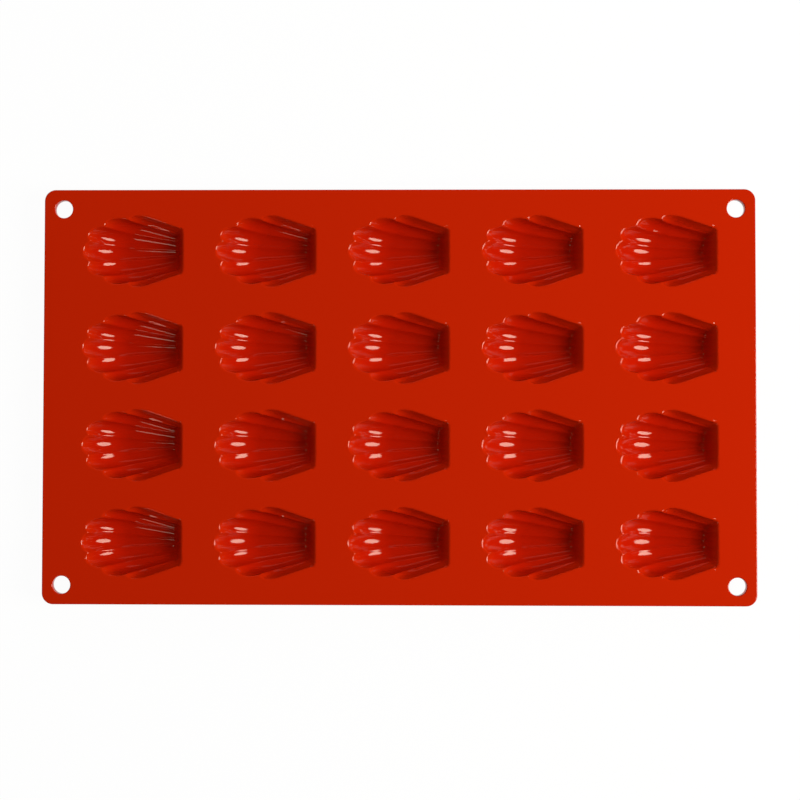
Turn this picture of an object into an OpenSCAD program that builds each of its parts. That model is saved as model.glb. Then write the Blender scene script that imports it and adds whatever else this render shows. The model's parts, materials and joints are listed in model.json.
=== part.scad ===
// Flexible silicone mould for twenty mini madeleines.
// A thin sheet carries five columns and four rows of fluted shell cups and ends in a thicker
// border with a round hole near each corner. The cups hang below the sheet and the mould
// stands on them. The narrow end of every shell points along +X, and the sheet lies in XY.

/* [Sheet] */
// Length of the whole mould along X
sheet_l = 300; // [300:1:400]
// Width of the whole mould along Y
sheet_w = 175; // [175:1:240]
// Radius of the four outer corners
corner_r = 4.75; // [2:0.25:12]
// Thickness of the sheet between the cups
web_t = 2; // [1:0.1:2.8]
// Thickness of the border, measured down from the top of the sheet
border_t = 3; // [2:0.1:6]
// Width of the border at the two ends, which carry the corner holes
border_end_w = 14; // [12.5:0.5:14.5]
// Width of the border along the two long sides
border_side_w = 8.5; // [5:0.5:9]

/* [Corner holes] */
// Diameter of each corner hole
hole_d = 7.5; // [3:0.25:10]
// Distance of each hole's centre from the two nearest edges
hole_inset = 8.2; // [6:0.1:9.5]

/* [Cup grid] */
// Number of cups along X
columns = 5; // [1:1:5]
// Number of cups along Y
rows = 4; // [1:1:4]
// Distance from one column to the next
column_pitch = 56.25; // [47:0.25:56.5]
// Distance from one row to the next
row_pitch = 41; // [34:0.1:41.4]
// How far the whole grid of cups lies towards +X from the middle of the sheet
grid_shift = 0.25; // [0:0.05:0.5]

/* [Shell cup] */
// Length of a cavity from the straight narrow end to the middle lobe
cup_l = 42; // [34:0.5:43]
// Width of a cavity across its widest pair of lobes
cup_w = 30; // [24:0.5:31]
// Width of the straight narrow end between its corners, before they are rounded
cup_narrow_w = 19.1; // [15:0.1:21]
// Depth of the middle flute where it is deepest
cup_depth = 11; // [9:0.5:14]
// Depth of the middle flute at the foot of the narrow end's wall
cup_narrow_depth = 9.3; // [7:0.1:11]
// Wall of the cup, at its floor and around its sides
cup_wall = 1.3; // [0.8:0.1:2]
// Radius of the two corners of the narrow end
cup_corner_r = 1.8; // [1:0.1:3]
// Distance along X that the narrow end's wall takes to come down
narrow_wall_run = 3.9; // [2:0.1:6]
// Length of the straight sides along X, from the narrow end to the last lobe
straight_side_l = 16.9; // [12:0.1:19]

/* [Flutes] */
// How far each notch between two lobes is drawn in from the lobes' tips
lobe_depth = 2.2; // [1:0.1:3]
// Height of the ridges between the flutes on the floor near the wide end
ridge_wide_h = 1; // [0.5:0.1:1.6]
// Height of the same ridges at the foot of the narrow end's wall
ridge_narrow_h = 0.6; // [0.2:0.1:1.2]
// How much the ridges spread sideways at the foot: 0 spaces them evenly
ridge_spread = 0.6; // [0:0.1:0.9]
// Slope of the wide end's wall where it meets the sheet, in degrees
rim_slope = 65; // [50:1:80]
// Share of each flute's length that its curved wide end takes
arc_share = 0.455; // [0.35:0.005:0.55]

/* [Hidden] */
// Half the number of flutes: the fan runs from -half_fan to half_fan, one unit to a flute
half_fan = 3.5;
// Place in the fan of the last flute's middle, past which the wall rises to the side edge
last_flute = 3;
// Fan angle of the wide outline as a cubic of the place in the fan, in degrees
fan_rate = 23.63;
fan_swell = 7.76;
fan_close = -2.048;
// Fullness of the wide outline: 1 is an ellipse, smaller values fill out its shoulders
outline_power = 0.833;
// How late along the curved wide end the ridges rise: 1 is at a steady rate
rise_power = 3;
// Length of fan at each side that turns the rounded corner of the narrow edge
corner_fan = 0.6;
// Distance from the narrow end to the point that the notches are drawn towards
notch_hub = 8;
// Facets across one flute
flute_steps = 3;
// Facets along the curved end of a flute
arc_steps = 4;
// Half the width of the level middle of a flute, as a share of the flute: one facet of it
flute_floor = 0.5 / flute_steps;
// Facets across the whole fan
fan_steps = 2 * half_fan * flute_steps;
// Rows of points along a flute: the curved end, the foot of the wall and the narrow edge
flute_rows = arc_steps + 2;

// The inside of the border, which is the outside of the thin sheet
web_l = sheet_l - 2 * border_end_w;
web_w = sheet_w - 2 * border_side_w;
// Radius of the corners where the border meets the thin sheet
web_corner_r = 6;
// How far the holes stand from the middle of the mould
hole_x = sheet_l / 2 - hole_inset;
hole_y = sheet_w / 2 - hole_inset;
// How far the cut of a hole runs past each face
cut_past = 1;

silicone = "#b52000";
silicone_edge = "#a81c00";
silicone_cup = "#8e0c00";

function cup_name(r, c) = str("cup_r", r, "_c", c);

// A cup is worked out in its own frame: the origin is the middle of the narrow edge on the
// sheet's top face and the shell opens out along -X. A place on its surface has two
// numbers: v, the place in the fan, and i, the row along the flute from the wide rim (0)
// to the narrow edge (flute_rows). grow moves the surface outwards, for the cup's outside.

// Signed power, which keeps the side of the fan
function side_power(value, power) = sign(value) * pow(abs(value), power);

// Depth of the cup's cross-section at v, from 1 in the middle to 0 at the side edge
function dome(v) = max(0, 1 - pow(v / half_fan, 2));

// Rise of the channel's floor across one flute, 0 along its middle and 1 on its ridges. The
// outer half of the last flute has no ridge: there the wall runs up to the side edge.
function ridge(v) =
    abs(v) >= last_flute
        ? 0
        : pow(max(0, abs(v - round(v)) - flute_floor) / (0.5 - flute_floor), 2);

// Fan angle of the wide outline at v
function fan_angle(v) = fan_rate * v + sign(v) * fan_swell * pow(v, 2) + fan_close * pow(v, 3);

// Smooth outline through the tips of the lobes
function tip_line(v, grow) =
    let (
        angle = fan_angle(v),
        length = cup_l - straight_side_l + grow,
        half_w = cup_w / 2 + grow
    )
    [
        -straight_side_l - length * pow(max(0, cos(angle)), outline_power),
        half_w * side_power(sin(angle), outline_power)
    ];

// Lobed outline of the wide end: the tip line, drawn in at the notches
function wide_edge(v, grow) =
    let (
        tip = tip_line(v, grow),
        inward = [-notch_hub, 0] - tip
    )
    tip + inward / norm(inward) * lobe_depth * ridge(v);

// Straight narrow edge with its two rounded corners
side_angle = atan((cup_w - cup_narrow_w) / 2 / straight_side_l);
function corner_setback(r) = r / tan((90 + side_angle) / 2);
function narrow_edge(v, grow) =
    let (
        r = cup_corner_r + grow,
        half_w = cup_narrow_w / 2 + grow * (1 - sin(side_angle)) / cos(side_angle)
            - corner_setback(r),
        part = abs(v) / (half_fan - corner_fan),
        spread = part + ridge_spread * pow(part, 2) * (1 - part),
        turn = (90 - side_angle) * max(0, abs(v) - half_fan + corner_fan) / corner_fan
    )
    part <= 1
        ? [grow, sign(v) * half_w * spread]
        : [grow - r + r * cos(turn), sign(v) * (half_w + r * sin(turn))];

// Foot of the narrow end's wall
function narrow_foot(v, grow) =
    narrow_edge(v, grow) - [narrow_wall_run * sqrt(dome(v)), 0];

// Slope of a flute's floor in row i of its curved end, and the share of the curve behind it
function row_slope(i) = rim_slope * (1 - i / arc_steps);
function arc_run(i) = 1 - sin(row_slope(i)) / sin(rim_slope);
function arc_drop(i) = (cos(row_slope(i)) - cos(rim_slope)) / (1 - cos(rim_slope));

// A point of the curved wide end
function arc_point(v, i, grow) =
    let (
        start = wide_edge(v, grow),
        along = narrow_foot(v, grow) - start,
        flat = start + along * arc_share * arc_run(i),
        drop = (cup_depth * dome(v) + grow) * arc_drop(i),
        rise = ridge_wide_h * ridge(v) * pow(i / arc_steps, rise_power)
    )
    [flat[0], flat[1], rise - drop];

// A point on the foot of the narrow end's wall
function foot_point(v, grow) =
    let (
        flat = narrow_foot(v, grow),
        drop = cup_narrow_depth * dome(v) + grow
    )
    [flat[0], flat[1], ridge_narrow_h * ridge(v) - drop];

// A point on the narrow edge
function edge_point(v, grow) =
    let (flat = narrow_edge(v, grow))
    [flat[0], flat[1], 0];

function shell_point(v, i, grow) =
    i <= arc_steps ? arc_point(v, i, grow)
    : i < flute_rows ? foot_point(v, grow)
    : edge_point(v, grow);

function fan_place(j) = -half_fan + j / flute_steps;
function on_rim(j, i) = i == 0 || i == flute_rows || j == 0 || j == fan_steps;

// The cavity's surface. Its rim, where the side edges lie too, is on the sheet's top face.
function cavity_point(j, i) =
    let (p = shell_point(fan_place(j), i, 0))
    [p[0], p[1], on_rim(j, i) ? 0 : p[2]];

// The outside of the cup, which starts at the underside of the sheet
function outer_point(j, i) =
    let (p = shell_point(fan_place(j), i, cup_wall))
    [p[0], p[1], on_rim(j, i) ? -web_t : min(-web_t, p[2])];

// Rim points in order round the cup, as pairs of places in the grid
rim_places = concat(
    [for (j = [0 : fan_steps]) [j, 0]],
    [for (i = [1 : flute_rows]) [fan_steps, i]],
    [for (j = [fan_steps - 1 : -1 : 0]) [j, flute_rows]],
    [for (i = [flute_rows - 1 : -1 : 1]) [0, i]]
);
rim_count = len(rim_places);

// Height of the sheet's top face above the surface that the lowest points of the cups touch
top_z = -min([for (j = [0 : fan_steps]) for (i = [0 : flute_rows]) outer_point(j, i)[2]]);

// Where the cup meets the sheet, seen from above
function cup_outline() = [
    for (place = rim_places)
        let (p = outer_point(place[0], place[1])) [p[0], p[1]]
];

// Numbers of the points in the list that makes one cup
grid_size = (fan_steps + 1) * (flute_rows + 1);
function grid_number(j, i) = j * (flute_rows + 1) + i;
function inner_rim(n) = grid_number(rim_places[n % rim_count][0], rim_places[n % rim_count][1]);
function outer_rim(n) = grid_size + inner_rim(n);
function top_rim(n) = 2 * grid_size + n % rim_count;

// The fluted shell of one cup: the cavity, the outside, a flat land round the cavity and
// the upright band that meets the sheet
module shell_cup() {
    points = concat(
        [for (j = [0 : fan_steps]) for (i = [0 : flute_rows]) cavity_point(j, i)],
        [for (j = [0 : fan_steps]) for (i = [0 : flute_rows]) outer_point(j, i)],
        [for (p = cup_outline()) [p[0], p[1], 0]]
    );
    cavity_faces = [
        for (j = [0 : fan_steps - 1]) for (i = [0 : flute_rows - 1]) for (half = [0, 1])
            half == 0
                ? [grid_number(j, i), grid_number(j, i + 1), grid_number(j + 1, i + 1)]
                : [grid_number(j, i), grid_number(j + 1, i + 1), grid_number(j + 1, i)]
    ];
    outer_faces = [
        for (face = cavity_faces)
            [grid_size + face[0], grid_size + face[2], grid_size + face[1]]
    ];
    land_faces = [
        for (n = [0 : rim_count - 1]) for (half = [0, 1])
            half == 0
                ? [inner_rim(n), inner_rim(n + 1), top_rim(n + 1)]
                : [inner_rim(n), top_rim(n + 1), top_rim(n)]
    ];
    band_faces = [
        for (n = [0 : rim_count - 1]) for (half = [0, 1])
            half == 0
                ? [top_rim(n), top_rim(n + 1), outer_rim(n + 1)]
                : [top_rim(n), outer_rim(n + 1), outer_rim(n)]
    ];
    polyhedron(points, concat(cavity_faces, outer_faces, land_faces, band_faces));
}

// Place of the cup in row r and column c, counted from 1 at the upper left
function cup_place(r, c) = [
    (c - (columns + 1) / 2) * column_pitch + cup_l / 2 + grid_shift,
    ((rows + 1) / 2 - r) * row_pitch,
    top_z
];

module cup(r, c) {
    color(silicone_cup)
        translate(cup_place(r, c))
            shell_cup();
}

// Flat rectangle with rounded corners, centred on the origin
module rounded_rectangle(l, w, r) {
    square([l - 2 * r, w], center = true);
    square([l, w - 2 * r], center = true);
    for (x = [-1, 1])
        for (y = [-1, 1])
            translate([x * (l / 2 - r), y * (w / 2 - r)])
                circle(r, $fn = 64);
}

// Thin sheet with an opening for each cup
module web() {
    color(silicone)
        translate([0, 0, top_z - web_t])
            linear_extrude(web_t)
                difference() {
                    rounded_rectangle(web_l, web_w, web_corner_r);
                    for (r = [1 : rows])
                        for (c = [1 : columns])
                            translate([cup_place(r, c)[0], cup_place(r, c)[1]])
                                polygon(cup_outline());
                }
}

// Thicker border with the four corner holes
module border() {
    color(silicone_edge)
        difference() {
            translate([0, 0, top_z - border_t])
                linear_extrude(border_t)
                    difference() {
                        rounded_rectangle(sheet_l, sheet_w, corner_r);
                        rounded_rectangle(web_l, web_w, web_corner_r);
                    }
            for (x = [-1, 1])
                for (y = [-1, 1])
                    translate([x * hole_x, y * hole_y, top_z - border_t - cut_past])
                        cylinder(h = border_t + 2 * cut_past, d = hole_d, $fn = 64);
        }
}

web();
border();
for (r = [1 : rows])
    for (c = [1 : columns])
        cup(r, c);
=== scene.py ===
"""Looks of a flexible silicone mould for mini madeleines, modelled round its packed construction.

The mould is one moulding. Its looks are held by a border with rounded edges, the thin sheet
between the cups and the fluted shell cups, which are one curved surface laid out once and
copied to every cup's place.
"""

import json
import math

import bpy
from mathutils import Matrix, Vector
from mathutils.geometry import delaunay_2d_cdt


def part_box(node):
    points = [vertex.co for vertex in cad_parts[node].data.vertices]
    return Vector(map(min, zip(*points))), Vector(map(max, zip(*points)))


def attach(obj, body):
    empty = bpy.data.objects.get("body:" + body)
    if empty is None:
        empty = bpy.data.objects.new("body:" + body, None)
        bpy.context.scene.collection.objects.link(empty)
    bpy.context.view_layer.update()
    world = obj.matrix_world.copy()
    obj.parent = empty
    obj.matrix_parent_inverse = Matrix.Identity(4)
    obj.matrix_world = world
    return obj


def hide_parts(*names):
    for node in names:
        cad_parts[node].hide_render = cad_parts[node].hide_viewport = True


bl_info = {
    "name": "Madeleine Mould",
    "version": (1, 0, 0),
    "blender": (4, 5, 0),
    "location": "3D View > Sidebar > Mould",
    "description": "Models a silicone mould for mini madeleines and the studio it lies in",
    "category": "Add Mesh",
}

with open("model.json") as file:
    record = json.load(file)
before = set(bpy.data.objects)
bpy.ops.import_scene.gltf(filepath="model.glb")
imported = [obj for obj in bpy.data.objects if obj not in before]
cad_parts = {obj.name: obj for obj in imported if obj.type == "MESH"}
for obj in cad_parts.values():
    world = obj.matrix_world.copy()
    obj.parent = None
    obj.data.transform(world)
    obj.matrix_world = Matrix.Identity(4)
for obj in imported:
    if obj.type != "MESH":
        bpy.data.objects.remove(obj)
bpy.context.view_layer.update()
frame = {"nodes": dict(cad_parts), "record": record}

BODY = "root"
MM = 0.001
CUP_NODES = sorted(name for name in frame["nodes"] if name.startswith("cup_"))

# Sizes that the construction gives
SHEET_LOW, SHEET_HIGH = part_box("border")
WEB_LOW, WEB_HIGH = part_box("web")
TOP = WEB_HIGH.z
HOLES = next(m for m in frame["record"]["mounts"] if m["name"] == "corner_holes")

# The fan runs from -HALF_FAN to HALF_FAN, one unit to a flute
HALF_FAN = 3.5
LAST_FLUTE = 3
# Fan angle of the wide outline as a cubic of the place in the fan, in degrees
FAN_ANGLE = (23.63, 7.76, -2.048)
# Fullness of the wide outline, where 1 is an ellipse and less is fuller
OUTLINE_POWER = 0.833
# How late along the curved wide end the ridges rise from its floor
RISE_POWER = 3
# How late along the floor the rise towards the narrow end comes
FLOOR_POWER = 1.4
# Largest share of the narrow wall that the rounding at its foot takes
FOOT_SHARE = 0.4
# How closely the places crowd towards the side edges, and the outside's rows towards the rim
SIDE_CROWDING = 1.6
RIM_CROWDING = 1.4
# Place in the fan where the narrow edge's corners begin
CORNER_V = 2.9
# Kind of triangulation that keeps what lies inside an outline, and its tolerance in mm
INSIDE_OUTLINES = 1
TRIANGULATION_MM = 1e-6
# How close two points lie, in metres, to count as one for a direction and for a merge
SAME_PLACE = 1e-6
MERGE_DISTANCE = 1e-7
# Edges that bend less than this are shaded smooth
CUP_CREASE = math.radians(50)
PLATE_CREASE = math.radians(40)
# Share of the way from the rim to the outline at which a ring keeps the land flat
LAND_SUPPORT = 0.15
# Roughness of the silicone where it is glossiest and where it is dullest, and its refraction
GLOSSIEST, DULLEST = 0.05, 0.09
REFRACTION = 1.42


class ShellCupSizes(bpy.types.PropertyGroup):
    """Sizes of one shell cup"""

    length: bpy.props.FloatProperty(
        name="Length",
        description="Length of a cavity from the straight narrow end to the middle lobe",
        default=0.042,
        unit="LENGTH",
    )
    width: bpy.props.FloatProperty(
        name="Width",
        description="Width of a cavity across its widest pair of lobes",
        default=0.030,
        unit="LENGTH",
    )
    narrow_width: bpy.props.FloatProperty(
        name="Narrow width",
        description="Width of the straight narrow end before its corners are rounded",
        default=0.0191,
        unit="LENGTH",
    )
    depth: bpy.props.FloatProperty(
        name="Depth",
        description="Depth of the middle flute where it is deepest",
        default=0.011,
        unit="LENGTH",
    )
    narrow_depth: bpy.props.FloatProperty(
        name="Narrow depth",
        description="Depth of the middle flute at the foot of the narrow end's wall",
        default=0.0093,
        unit="LENGTH",
    )
    wall: bpy.props.FloatProperty(
        name="Wall",
        description="Thickness of the cup round its sides",
        default=0.0013,
        unit="LENGTH",
    )
    corner_radius: bpy.props.FloatProperty(
        name="Corner radius",
        description="Radius of the two corners of the narrow end",
        default=0.0018,
        unit="LENGTH",
    )
    narrow_wall_run: bpy.props.FloatProperty(
        name="Narrow wall run",
        description="Distance that the narrow end's wall takes to come down",
        default=0.0039,
        unit="LENGTH",
    )
    straight_side: bpy.props.FloatProperty(
        name="Straight side",
        description="Length of the straight sides, from the narrow end to the last lobe",
        default=0.0169,
        unit="LENGTH",
    )
    lobe_depth: bpy.props.FloatProperty(
        name="Lobe depth",
        description="How far each notch between two lobes is drawn in from their tips",
        default=0.0022,
        unit="LENGTH",
    )
    notch_hub: bpy.props.FloatProperty(
        name="Notch hub",
        description="Distance from the narrow end to the point that the notches point at",
        default=0.008,
        unit="LENGTH",
    )
    ridge_wide: bpy.props.FloatProperty(
        name="Ridge, wide end",
        description="Height of the ridges between the flutes at the deepest row",
        default=0.0010,
        unit="LENGTH",
    )
    ridge_narrow: bpy.props.FloatProperty(
        name="Ridge, narrow end",
        description="Height of the ridges at the foot of the narrow end's wall",
        default=0.0006,
        unit="LENGTH",
    )
    crest: bpy.props.FloatProperty(
        name="Crest",
        description="Share of a flute, on each side of a ridge, that rounds the ridge's crest",
        default=0.045,
        min=0.01,
        max=0.3,
        subtype="FACTOR",
    )
    foot_swell: bpy.props.FloatProperty(
        name="Foot swell",
        description="How far the outer ridges spread at the narrow end",
        default=0.6,
    )
    rim_slope: bpy.props.FloatProperty(
        name="Rim slope",
        description="Slope of the wide end's wall where it meets the sheet",
        default=math.radians(65),
        subtype="ANGLE",
    )
    arc_share: bpy.props.FloatProperty(
        name="Arc share",
        description="Share of each flute's length that its curved wide end takes",
        default=0.455,
        subtype="FACTOR",
    )
    rim_round: bpy.props.FloatProperty(
        name="Rim rounding",
        description="How far the rounded rim reaches over the sheet and down the wall",
        default=0.0008,
        unit="LENGTH",
    )
    foot_round: bpy.props.FloatProperty(
        name="Foot rounding",
        description="How far the rounding at the foot of the narrow wall reaches",
        default=0.0013,
        unit="LENGTH",
    )
    underside_round: bpy.props.FloatProperty(
        name="Underside rounding",
        description="Height over which the cup's outside runs into the sheet's underside",
        default=0.0012,
        unit="LENGTH",
    )


class SheetSizes(bpy.types.PropertyGroup):
    """Sizes of the sheet and its border"""

    corner_radius: bpy.props.FloatProperty(
        name="Corner radius",
        description="Radius of the four outer corners",
        default=0.00475,
        unit="LENGTH",
    )
    web_corner_radius: bpy.props.FloatProperty(
        name="Inner corner radius",
        description="Radius of the corners where the border meets the thin sheet",
        default=0.006,
        unit="LENGTH",
    )
    edge_round: bpy.props.FloatProperty(
        name="Edge rounding",
        description="Radius of the border's edges and of the edges of its holes",
        default=0.0004,
        unit="LENGTH",
    )


class SiliconeLook(bpy.types.PropertyGroup):
    """Colours and gloss of the silicone"""

    colour: bpy.props.FloatVectorProperty(
        name="Colour",
        description="Colour of the silicone",
        subtype="COLOR",
        size=3,
        default=(0.47, 0.0142, 0.0006),
    )
    # Painted shade: a darker red that stands in for the shade that falls in the cups
    painted_shade_colour: bpy.props.FloatVectorProperty(
        name="Deep colour",
        description="The deeper red of the cups, where more silicone lies behind the surface",
        subtype="COLOR",
        size=3,
        default=(0.41, 0.0078, 0.0004),
    )
    # Depth below the top face at which the painted shade is full
    painted_shade_depth: bpy.props.FloatProperty(
        name="Deep from",
        description="Depth below the top face at which the deeper red is reached",
        default=0.006,
        unit="LENGTH",
    )
    gloss_scale: bpy.props.FloatProperty(
        name="Gloss scale",
        description="Scale of the uneven gloss, in waves a metre",
        default=900.0,
    )
    skin_scale: bpy.props.FloatProperty(
        name="Skin scale",
        description="Scale of the faint unevenness of the skin, in waves a metre",
        default=420.0,
    )
    skin_height: bpy.props.FloatProperty(
        name="Skin height",
        description="Height of the faint unevenness of the skin",
        default=0.000002,
        unit="LENGTH",
    )


class StudioSizes(bpy.types.PropertyGroup):
    """Camera, lights and floor"""

    camera_place: bpy.props.FloatVectorProperty(
        name="Camera place",
        description="Place of the camera",
        subtype="XYZ",
        size=3,
        default=(0.0089, -0.0153, 0.5663),
    )
    camera_turn: bpy.props.FloatVectorProperty(
        name="Camera turn",
        description="Turn of the camera from straight down, in degrees",
        size=3,
        default=(1.438, 0.85, 0.077),
    )
    lens: bpy.props.FloatProperty(
        name="Lens",
        description="Focal length of the camera in millimetres",
        default=59.33,
    )
    floor_size: bpy.props.FloatProperty(
        name="Floor size",
        description="Length of each side of the floor",
        default=8.0,
        unit="LENGTH",
    )


def settings():
    """The four groups of settings that the operators read."""
    scene = bpy.context.scene
    return scene.mould_cup, scene.mould_sheet, scene.mould_silicone, scene.mould_studio


def deselect_all():
    """Leaves nothing selected, the construction's own nodes included."""
    bpy.ops.object.select_all(action="DESELECT")


def select_only(piece):
    deselect_all()
    piece.select_set(True)
    bpy.context.view_layer.objects.active = piece


def hold(piece, node):
    """The piece is attached to the root body, and the node whose place it takes is hidden."""
    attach(piece, BODY)
    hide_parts(node)


# The shell's surface


def signed_power(value, power):
    return math.copysign(abs(value) ** power, value)


def dome(v):
    """Depth of the cup's cross-section, from 1 in the middle to 0 at the side edge."""
    return max(0.0, 1 - (v / HALF_FAN) ** 2)


def ridge(v, crest):
    """Rise of the floor across one flute, 0 in its middle and 1 on the rounded crests."""
    if abs(v) >= LAST_FLUTE:
        return 0.0
    off = abs(v - round(v))
    past = max(0.0, off - (0.5 - crest))
    return (4 * off**2 - 2 / crest * past**2) / (1 - 2 * crest)


def fan_angle(v):
    rate, swell, close = FAN_ANGLE
    return math.radians(rate * v + math.copysign(swell, v) * v**2 + close * v**3)


def wide_edge(cup, v, grow):
    """Lobed outline of the wide end, seen from above."""
    angle = fan_angle(v)
    length = cup.length - cup.straight_side + grow
    tip = Vector(
        (
            -cup.straight_side - length * max(0.0, math.cos(angle)) ** OUTLINE_POWER,
            (cup.width / 2 + grow) * signed_power(math.sin(angle), OUTLINE_POWER),
        )
    )
    inward = (Vector((-cup.notch_hub, 0)) - tip).normalized()
    return tip + inward * cup.lobe_depth * ridge(v, cup.crest)


def narrow_edge(cup, v, grow):
    """Straight narrow edge with its two rounded corners, seen from above."""
    side = math.atan((cup.width - cup.narrow_width) / 2 / cup.straight_side)
    radius = cup.corner_radius + grow
    setback = radius / math.tan((math.pi / 2 + side) / 2)
    half = cup.narrow_width / 2 + grow * (1 - math.sin(side)) / math.cos(side) - setback
    if abs(v) <= CORNER_V:
        x = abs(v) / CORNER_V
        spread = x + cup.foot_swell * x**2 * (1 - x)
        return Vector((grow, math.copysign(half * spread, v)))
    turn = (math.pi / 2 - side) * (abs(v) - CORNER_V) / (HALF_FAN - CORNER_V)
    along = grow - radius + radius * math.cos(turn)
    return Vector((along, math.copysign(half + radius * math.sin(turn), v)))


def narrow_foot(cup, v, grow):
    """Foot of the narrow end's wall, seen from above."""
    return narrow_edge(cup, v, grow) - Vector((cup.narrow_wall_run * math.sqrt(dome(v)), 0))


def bend(before, corner, after, t):
    """A point of the curve that rounds a corner."""
    return before * (1 - t) ** 2 + corner * 2 * t * (1 - t) + after * t**2


ARC_ROWS = 26
FLOOR_ROWS = 10
FOOT_ROWS = 6
WALL_ROWS = 5
ROWS = ARC_ROWS + 1 + FLOOR_ROWS + FOOT_ROWS + WALL_ROWS


def flute_line(cup, v, grow, fall, crowding):
    """Points of one line along a flute, from the wide rim to the narrow edge.

    grow moves the surface outwards and fall moves it down; crowding above 1 packs the
    first rows towards the wide rim.
    """
    start = wide_edge(cup, v, grow)
    foot = narrow_foot(cup, v, grow)
    edge = narrow_edge(cup, v, grow)
    deep = cup.depth * dome(v) + fall
    shallow = cup.narrow_depth * dome(v) + fall
    crest = ridge(v, cup.crest)
    line = []
    for i in range(ARC_ROWS + 1):
        share = (i / ARC_ROWS) ** crowding
        slope = cup.rim_slope * (1 - share)
        run = 1 - math.sin(slope) / math.sin(cup.rim_slope)
        drop = (math.cos(slope) - math.cos(cup.rim_slope)) / (1 - math.cos(cup.rim_slope))
        flat = start.lerp(foot, cup.arc_share * run)
        rise = cup.ridge_wide * crest * share**RISE_POWER
        line.append(Vector((flat.x, flat.y, rise - deep * drop)))
    bottom = line[-1].copy()
    corner = Vector((foot.x, foot.y, cup.ridge_narrow * crest - shallow))
    top = Vector((edge.x, edge.y, 0))
    reach = min(cup.foot_round, FOOT_SHARE * (top - corner).length)
    floor_end = corner + (bottom - corner).normalized() * reach
    wall_start = corner + (top - corner).normalized() * reach if reach > 0 else corner
    for i in range(1, FLOOR_ROWS + 1):
        t = i / FLOOR_ROWS
        point = bottom.lerp(floor_end, t)
        point.z = bottom.z + (floor_end.z - bottom.z) * t**FLOOR_POWER
        line.append(point)
    for i in range(1, FOOT_ROWS + 1):
        line.append(bend(floor_end, corner, wall_start, i / FOOT_ROWS))
    for i in range(1, WALL_ROWS + 1):
        line.append(wall_start.lerp(top, i / WALL_ROWS))
    return line


def fan_places(steps, side_steps):
    """Places in the fan: even across the flutes, and closer together up the side walls."""
    middle = [k / steps for k in range(-LAST_FLUTE * steps, LAST_FLUTE * steps + 1)]
    span = HALF_FAN - LAST_FLUTE
    side = [
        HALF_FAN - span * (1 - k / side_steps) ** SIDE_CROWDING for k in range(1, side_steps + 1)
    ]
    return [-v for v in reversed(side)] + middle + side


FAN = fan_places(steps=14, side_steps=8)
COLUMNS = len(FAN)

# Rim places in order round the cup, as pairs of column and row
RIM = (
    [(j, 0) for j in range(COLUMNS)]
    + [(COLUMNS - 1, i) for i in range(1, ROWS)]
    + [(j, ROWS - 1) for j in range(COLUMNS - 2, -1, -1)]
    + [(0, i) for i in range(ROWS - 2, 0, -1)]
)


def cavity_grid(cup):
    """The cavity's surface, column by column, with its rim on the sheet's top face."""
    grid = [flute_line(cup, v, grow=0, fall=0, crowding=1.0) for v in FAN]
    for j, i in RIM:
        grid[j][i].z = 0
    return grid


def soft_lower(a, b, span):
    """The lower of two heights, with the crease between them rounded over span."""
    near = max(0.0, span - abs(a - b))
    return min(a, b) - near**2 / (4 * span)


def outside_grid(cup):
    """The cup's outside, which runs into the underside of the sheet."""
    thickness = TOP - WEB_LOW.z
    fall = TOP - cup.depth
    grid = [flute_line(cup, v, cup.wall, fall, RIM_CROWDING) for v in FAN]
    for column in grid:
        for point in column:
            point.z = soft_lower(-thickness, point.z, cup.underside_round)
    for j, i in RIM:
        grid[j][i].z = -thickness
    return grid


def add_skin(name, grid):
    """A grid primitive whose points are laid on a surface, with its rim places numbered."""
    deselect_all()
    bpy.ops.mesh.primitive_grid_add(x_subdivisions=COLUMNS - 1, y_subdivisions=ROWS - 1, size=1)
    skin = bpy.context.object
    skin.name = name
    for j, column in enumerate(grid):
        for i, point in enumerate(column):
            skin.data.vertices[i * COLUMNS + j].co = point
    places = skin.data.attributes.new("rim_place", "INT", "POINT").data
    for k, (j, i) in enumerate(RIM):
        places[i * COLUMNS + j].value = k
    return skin


def extrude_rim(piece, ring):
    """Extrudes the open rim once and lays its new points on the ring."""
    select_only(piece)
    bpy.ops.object.mode_set(mode="EDIT")
    bpy.ops.mesh.select_mode(type="FACE")
    bpy.ops.mesh.select_all(action="SELECT")
    bpy.ops.mesh.region_to_loop()
    bpy.ops.mesh.extrude_edges_move()
    bpy.ops.object.mode_set(mode="OBJECT")
    places = piece.data.attributes["rim_place"].data
    for vertex in piece.data.vertices:
        if vertex.select:
            vertex.co = ring[places[vertex.index].value]


def close_up(piece, crease):
    """Merges the seams, turns all faces outwards and smooths what bends less than crease."""
    select_only(piece)
    bpy.ops.object.mode_set(mode="EDIT")
    bpy.ops.mesh.select_mode(type="VERT")
    bpy.ops.mesh.select_all(action="SELECT")
    bpy.ops.mesh.remove_doubles(threshold=MERGE_DISTANCE)
    bpy.ops.mesh.normals_make_consistent(inside=False)
    bpy.ops.object.mode_set(mode="OBJECT")
    piece.data.attributes.remove(piece.data.attributes["rim_place"])
    bpy.ops.object.shade_smooth_by_angle(angle=crease)


def outward(ring):
    """Unit directions away from the cup at each point of a closed outline, seen from above.

    Points that lie on one another share the direction of the places round them.
    """
    result = []
    for k, point in enumerate(ring):
        apart = [p for p in ring[k:] + ring[:k] if (p - point).length > SAME_PLACE]
        along = apart[0] - apart[-1]
        result.append(Vector((along.y, -along.x, 0)).normalized())
    return result


RIM_RINGS = 6


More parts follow.
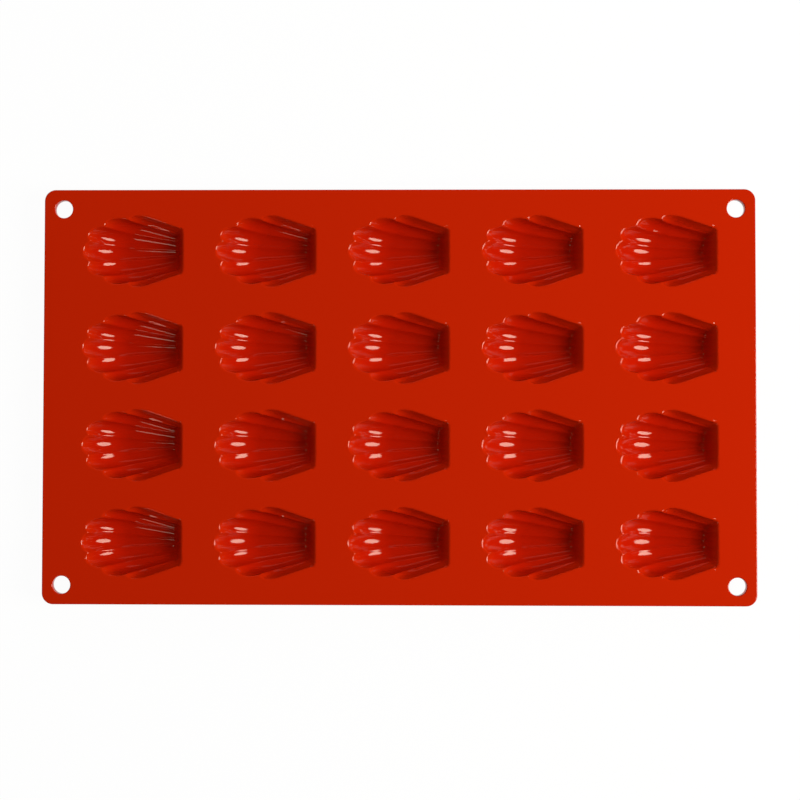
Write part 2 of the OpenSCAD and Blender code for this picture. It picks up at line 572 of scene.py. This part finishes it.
def rim_rings(cup, grid):
    """Rings that round the rim, from a little down the wall to the sheet."""
    rim = [grid[j][i].copy() for j, i in RIM]
    inner = [
        grid[min(max(j, 1), COLUMNS - 2)][min(max(i, 1), ROWS - 2)] for j, i in RIM
    ]
    away = outward(rim)
    if away[0].dot(rim[0] - inner[0]) < 0:
        away = [-direction for direction in away]
    wall = [p + (q - p).normalized() * cup.rim_round for p, q in zip(rim, inner)]
    sheet = [p + direction * cup.rim_round for p, direction in zip(rim, away)]
    return [
        [bend(a, b, c, step / RIM_RINGS) for a, b, c in zip(wall, rim, sheet)]
        for step in range(RIM_RINGS + 1)
    ]


def cup_outline(outside):
    """Where the cup meets the sheet, on its top face."""
    return [Vector((outside[j][i].x, outside[j][i].y, 0)) for j, i in RIM]


def shell_cup(name):
    """The finished cup at the origin: cavity, rounded rim, land, band and outside."""
    cup = settings()[0]
    cavity, outside = cavity_grid(cup), outside_grid(cup)
    rings = rim_rings(cup, cavity)
    for (j, i), point in zip(RIM, rings[0]):
        cavity[j][i] = point
    inner = add_skin(name, cavity)
    for ring in rings[1:]:
        extrude_rim(inner, ring)
    outline = cup_outline(outside)
    support = [p.lerp(q, LAND_SUPPORT) for p, q in zip(rings[-1], outline)]
    extrude_rim(inner, support)
    extrude_rim(inner, outline)
    outer = add_skin(name + "_outside", outside)
    extrude_rim(outer, outline)
    select_only(inner)
    outer.select_set(True)
    bpy.ops.object.join()
    close_up(inner, CUP_CREASE)
    return inner


def cup_origin(node):
    """Middle of a cup's narrow edge on the sheet's top face."""
    low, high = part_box(node)
    return Vector((high.x - settings()[0].wall, (low.y + high.y) / 2, TOP))


def rounded_outline(low, high, radius, z, steps=16):
    """Points round a rectangle with rounded corners."""
    points = []
    centres = (
        (high.x - radius, high.y - radius),
        (low.x + radius, high.y - radius),
        (low.x + radius, low.y + radius),
        (high.x - radius, low.y + radius),
    )
    for quarter, (x, y) in enumerate(centres):
        for k in range(steps + 1):
            angle = math.pi / 2 * (quarter + k / steps)
            points.append(
                Vector((x + radius * math.cos(angle), y + radius * math.sin(angle), z))
            )
    return points


def circle_outline(centre, radius, z, steps=64):
    """Points round a circle."""
    turn = 2 * math.pi / steps
    return [
        Vector(
            (centre[0] + radius * math.cos(k * turn), centre[1] + radius * math.sin(k * turn), z)
        )
        for k in range(steps)
    ]


def runs_leftwards(outline):
    """Whether a closed outline turns to the left, seen from above."""
    pairs = zip(outline, outline[1:] + outline[:1])
    return sum(p.x * q.y - p.y * q.x for p, q in pairs) > 0


def flat_skin(name, outlines):
    """A level face between closed outlines, with its rim places numbered."""
    points, rims = [], []
    for outline in outlines:
        rim = list(range(len(points), len(points) + len(outline)))
        rims.append(rim if runs_leftwards(outline) else rim[::-1])
        points += outline
    flat = [Vector((p.x, p.y)) / MM for p in points]
    _, _, triangles, sources, _, outer = delaunay_2d_cdt(
        flat, [], rims, INSIDE_OUTLINES, TRIANGULATION_MM
    )
    faces = [
        [sources[corner][0] for corner in triangle]
        for triangle, around in zip(triangles, outer)
        if len(around) == 1
    ]
    mesh = bpy.data.meshes.new(name)
    mesh.from_pydata(points, [], faces)
    places = mesh.attributes.new("rim_place", "INT", "POINT").data
    for k in range(len(points)):
        places[k].value = k
    skin = bpy.data.objects.new(name, mesh)
    bpy.context.collection.objects.link(skin)
    return skin


def plate(name, loops):
    """A plate between closed outlines. Each loop is its rings from the top face down."""
    top = flat_skin(name, [rings[0] for rings in loops])
    bottom = flat_skin(name + "_underside", [rings[-1] for rings in loops])
    for level in range(1, len(loops[0])):
        extrude_rim(top, [point for rings in loops for point in rings[level]])
    select_only(top)
    bottom.select_set(True)
    bpy.ops.object.join()
    close_up(top, PLATE_CREASE)
    return top


def edge_profile(radius, top, bottom, steps=5):
    """Inset and height down an edge that is rounded at its top and at its bottom."""
    # A first ring further in keeps the flat face flat, at the top and at the bottom
    profile = [(radius + radius / 4, top)]
    for k in range(steps + 1):
        angle = math.pi / 2 * k / steps
        profile.append((radius * (1 - math.sin(angle)), top - radius * (1 - math.cos(angle))))
    return profile + [(inset, top + bottom - z) for inset, z in reversed(profile)]


def silicone(name):
    """Glossy moulded silicone: a red that darkens downwards as painted shade in the cups, an
    uneven gloss and a fine skin.
    """
    existing = bpy.data.materials.get(name)
    if existing:
        return existing
    look = settings()[2]
    material = bpy.data.materials.new(name)
    material.use_nodes = True
    nodes, links = material.node_tree.nodes, material.node_tree.links
    nodes.clear()
    output = nodes.new("ShaderNodeOutputMaterial")
    shader = nodes.new("ShaderNodeBsdfPrincipled")
    shader.inputs["IOR"].default_value = REFRACTION
    shader.inputs["Specular IOR Level"].default_value = 0.5
    links.new(shader.outputs["BSDF"], output.inputs["Surface"])
    place = nodes.new("ShaderNodeTexCoord")

    # Painted shade: the red darkens with depth below the top face, so the cups look shaded
    height = nodes.new("ShaderNodeSeparateXYZ")
    links.new(place.outputs["Object"], height.inputs["Vector"])
    depth = nodes.new("ShaderNodeMapRange")
    depth.interpolation_type = "SMOOTHSTEP"
    depth.inputs["From Min"].default_value = TOP
    depth.inputs["From Max"].default_value = TOP - look.painted_shade_depth
    links.new(height.outputs["Z"], depth.inputs["Value"])
    red_with_painted_shade = nodes.new("ShaderNodeMix")
    red_with_painted_shade.data_type = "RGBA"
    red_with_painted_shade.inputs["A"].default_value = (*look.colour, 1)
    red_with_painted_shade.inputs["B"].default_value = (*look.painted_shade_colour, 1)
    links.new(depth.outputs["Result"], red_with_painted_shade.inputs["Factor"])
    links.new(red_with_painted_shade.outputs["Result"], shader.inputs["Base Color"])

    uneven = nodes.new("ShaderNodeTexNoise")
    uneven.inputs["Scale"].default_value = look.gloss_scale
    uneven.inputs["Detail"].default_value = 2
    links.new(place.outputs["Object"], uneven.inputs["Vector"])
    gloss = nodes.new("ShaderNodeMapRange")
    gloss.inputs["To Min"].default_value = GLOSSIEST
    gloss.inputs["To Max"].default_value = DULLEST
    links.new(uneven.outputs["Fac"], gloss.inputs["Value"])
    links.new(gloss.outputs["Result"], shader.inputs["Roughness"])

    skin = nodes.new("ShaderNodeTexNoise")
    skin.inputs["Scale"].default_value = look.skin_scale
    skin.inputs["Detail"].default_value = 3
    links.new(place.outputs["Object"], skin.inputs["Vector"])
    bump = nodes.new("ShaderNodeBump")
    bump.inputs["Strength"].default_value = 1.0
    bump.inputs["Distance"].default_value = look.skin_height
    links.new(skin.outputs["Fac"], bump.inputs["Height"])
    links.new(bump.outputs["Normal"], shader.inputs["Normal"])
    return material


def dress(piece):
    """Gives the piece the silicone."""
    piece.data.materials.clear()
    piece.data.materials.append(silicone("silicone_red"))


class MOULD_OT_cups(bpy.types.Operator):
    """Model one shell cup and copy it to every cup's place"""

    bl_idname = "mould.cups"
    bl_label = "Shell cups"

    def execute(self, context):
        model = shell_cup("cup_model")
        dress(model)
        for node in CUP_NODES:
            select_only(model)
            bpy.ops.object.duplicate(linked=False)
            copy = context.object
            copy.name = "shell_" + node
            bpy.ops.transform.translate(value=cup_origin(node))
            bpy.ops.object.transform_apply(location=True, rotation=False, scale=False)
            hold(copy, node)
        bpy.data.objects.remove(model)
        return {"FINISHED"}


class MOULD_OT_web(bpy.types.Operator):
    """Model the thin sheet between the cups"""

    bl_idname = "mould.web"
    bl_label = "Thin sheet"

    def execute(self, context):
        cup, sheet, _, _ = settings()
        outline = cup_outline(outside_grid(cup))
        levels = (TOP, WEB_LOW.z)
        edge = [rounded_outline(WEB_LOW, WEB_HIGH, sheet.web_corner_radius, z) for z in levels]
        loops = [edge]
        for node in CUP_NODES:
            origin = cup_origin(node)
            loops.append([[p + Vector((origin.x, origin.y, z)) for p in outline] for z in levels])
        web = plate("thin_sheet", loops)
        dress(web)
        hold(web, "web")
        return {"FINISHED"}


class MOULD_OT_border(bpy.types.Operator):
    """Model the thicker border with its rounded edges and corner holes"""

    bl_idname = "mould.border"
    bl_label = "Border"

    def execute(self, context):
        sheet = settings()[1]
        profile = edge_profile(sheet.edge_round, TOP, SHEET_LOW.z)
        corners = ((-1, -1), (-1, 1), (1, -1), (1, 1))
        outer, inner, holes = [], [], [[] for _ in corners]
        half_x = HOLES["dims"]["spacing_x_mm"] * MM / 2
        half_y = HOLES["dims"]["spacing_y_mm"] * MM / 2
        for level, (inset, z) in enumerate(profile):
            gap = Vector((inset, inset, 0))
            outer.append(
                rounded_outline(SHEET_LOW + gap, SHEET_HIGH - gap, sheet.corner_radius - inset, z)
            )
            low_half = level > len(profile) // 2
            seam = inset if low_half else 0
            gap = Vector((seam, seam, 0))
            inner.append(
                rounded_outline(WEB_LOW - gap, WEB_HIGH + gap, sheet.web_corner_radius + seam, z)
            )
            for hole, (x, y) in zip(holes, corners):
                radius = HOLES["dims"]["hole_r_mm"] * MM + inset
                hole.append(circle_outline((x * half_x, y * half_y), radius, z))
        border = plate("border_rim", [outer, inner] + holes)
        dress(border)
        hold(border, "border")
        return {"FINISHED"}


def add_softbox(name, distance, zenith, azimuth, width, height, radiance, tint, shines):
    """A round or oval light that faces the mould. zenith and azimuth are in degrees.

    A light either shades the silicone or shines on it. Shine is seen on the first surface
    only, so that the deep cups don't mirror it from wall to wall.
    """
    tilt, turn = math.radians(zenith), math.radians(azimuth)
    direction = Vector(
        (math.sin(tilt) * math.cos(turn), math.sin(tilt) * math.sin(turn), math.cos(tilt))
    )
    data = bpy.data.lights.new(name, "AREA")
    data.shape = "ELLIPSE"
    data.size, data.size_y = width, height
    data.color = tint
    # Power of an evenly bright oval of this size
    data.energy = radiance * math.pi * math.pi * width * height / 4
    if shines:
        data.cycles.max_bounces = 1
    light = bpy.data.objects.new(name, data)
    light.location = Vector((0, 0, TOP)) + direction * distance
    light.rotation_euler = direction.to_track_quat("Z", "Y").to_euler()
    light.visible_camera = False
    light.visible_glossy = shines
    light.visible_diffuse = not shines
    bpy.context.collection.objects.link(light)


def white_to_camera(name, colour, lift):
    """A floor material. lift is the share that the camera and reflections see as white."""
    material = bpy.data.materials.new(name)
    material.use_nodes = True
    nodes, links = material.node_tree.nodes, material.node_tree.links
    nodes.clear()
    output = nodes.new("ShaderNodeOutputMaterial")
    paper = nodes.new("ShaderNodeBsdfDiffuse")
    paper.inputs["Color"].default_value = (*colour, 1)
    glow = nodes.new("ShaderNodeEmission")
    path = nodes.new("ShaderNodeLightPath")
    seen = nodes.new("ShaderNodeMath")
    seen.operation = "ADD"
    links.new(path.outputs["Is Camera Ray"], seen.inputs[0])
    links.new(path.outputs["Is Glossy Ray"], seen.inputs[1])
    also = nodes.new("ShaderNodeMath")
    also.operation = "ADD"
    links.new(seen.outputs[0], also.inputs[0])
    links.new(path.outputs["Is Transmission Ray"], also.inputs[1])
    share = nodes.new("ShaderNodeMath")
    share.operation = "MULTIPLY"
    share.use_clamp = True
    share.inputs[1].default_value = lift
    links.new(also.outputs[0], share.inputs[0])
    mix = nodes.new("ShaderNodeMixShader")
    links.new(share.outputs[0], mix.inputs["Fac"])
    links.new(paper.outputs["BSDF"], mix.inputs[1])
    links.new(glow.outputs["Emission"], mix.inputs[2])
    links.new(mix.outputs["Shader"], output.inputs["Surface"])
    return material


def light_world(name, strength):
    """A dim grey world, pale grey to the camera, that the silicone doesn't mirror."""
    world = bpy.data.worlds.new(name)
    world.use_nodes = True
    nodes, links = world.node_tree.nodes, world.node_tree.links
    nodes.clear()
    output = nodes.new("ShaderNodeOutputWorld")
    background = nodes.new("ShaderNodeBackground")
    path = nodes.new("ShaderNodeLightPath")
    level = nodes.new("ShaderNodeMapRange")
    level.inputs["To Min"].default_value = strength
    level.inputs["To Max"].default_value = 1.0
    links.new(path.outputs["Is Camera Ray"], level.inputs["Value"])
    links.new(level.outputs["Result"], background.inputs["Strength"])
    links.new(background.outputs["Background"], output.inputs["Surface"])
    world.cycles_visibility.glossy = False
    bpy.context.scene.world = world


class MOULD_OT_stage(bpy.types.Operator):
    """Set the floor, the lights and the camera"""

    bl_idname = "mould.stage"
    bl_label = "Stage"

    def execute(self, context):
        studio = settings()[3]
        scene = context.scene
        deselect_all()
        bpy.ops.mesh.primitive_plane_add(size=studio.floor_size)
        floor = context.object
        floor.name = "studio_floor"
        floor.data.materials.append(white_to_camera("studio_white", (0.9, 0.9, 0.9), lift=0.96))

        # Each light's distance, zenith, azimuth, width, height, radiance and tint
        warm, white = (1.0, 0.95, 0.76), (1.0, 0.96, 0.88)
        add_softbox("key_softbox", 1.25, 52, -8, 0.62, 0.90, 13.5, white, shines=False)
        add_softbox("key_shine", 1.2, 48, -11, 0.60, 0.87, 11.5, warm, shines=True)
        add_softbox("far_window", 0.8, 50, 85, 0.75, 0.75, 1.35, white, shines=False)
        add_softbox("far_shine", 3.0, 61, 104, 1.8, 1.3, 0.45, warm, shines=True)
        add_softbox("left_fill", 1.5, 72, 185, 1.0, 1.0, 0.9, white, shines=False)
        add_softbox("left_shine", 1.0, 52, 224, 0.28, 0.26, 3.8, warm, shines=True)
        light_world("studio_air", strength=0.27)

        deselect_all()
        bpy.ops.object.camera_add(
            location=studio.camera_place,
            rotation=[math.radians(angle) for angle in studio.camera_turn],
        )
        camera = context.object
        camera.data.lens = studio.lens
        camera.data.sensor_width = 36
        camera.data.clip_start = 0.01
        scene.camera = camera
        scene.view_settings.view_transform = "Standard"
        return {"FINISHED"}


class MOULD_PT_panel(bpy.types.Panel):
    """The mould's operators and sizes"""

    bl_label = "Madeleine Mould"
    bl_idname = "MOULD_PT_panel"
    bl_space_type = "VIEW_3D"
    bl_region_type = "UI"
    bl_category = "Mould"

    def draw(self, context):
        for operator in OPERATORS:
            self.layout.operator(operator.bl_idname)
        for group in settings():
            column = self.layout.column()
            for name in group.__annotations__:
                column.prop(group, name)


OPERATORS = (MOULD_OT_cups, MOULD_OT_web, MOULD_OT_border, MOULD_OT_stage)
GROUPS = {
    "mould_cup": ShellCupSizes,
    "mould_sheet": SheetSizes,
    "mould_silicone": SiliconeLook,
    "mould_studio": StudioSizes,
}


def register():
    for group in GROUPS.values():
        bpy.utils.register_class(group)
    for operator in OPERATORS:
        bpy.utils.register_class(operator)
    bpy.utils.register_class(MOULD_PT_panel)
    for name, group in GROUPS.items():
        setattr(bpy.types.Scene, name, bpy.props.PointerProperty(type=group))


def unregister():
    for name in GROUPS:
        delattr(bpy.types.Scene, name)
    bpy.utils.unregister_class(MOULD_PT_panel)
    for operator in reversed(OPERATORS):
        bpy.utils.unregister_class(operator)
    for group in reversed(GROUPS.values()):
        bpy.utils.unregister_class(group)


def main():
    register()
    bpy.ops.mould.cups()
    bpy.ops.mould.web()
    bpy.ops.mould.border()
    bpy.ops.mould.stage()


if __name__ == "__main__":
    main()
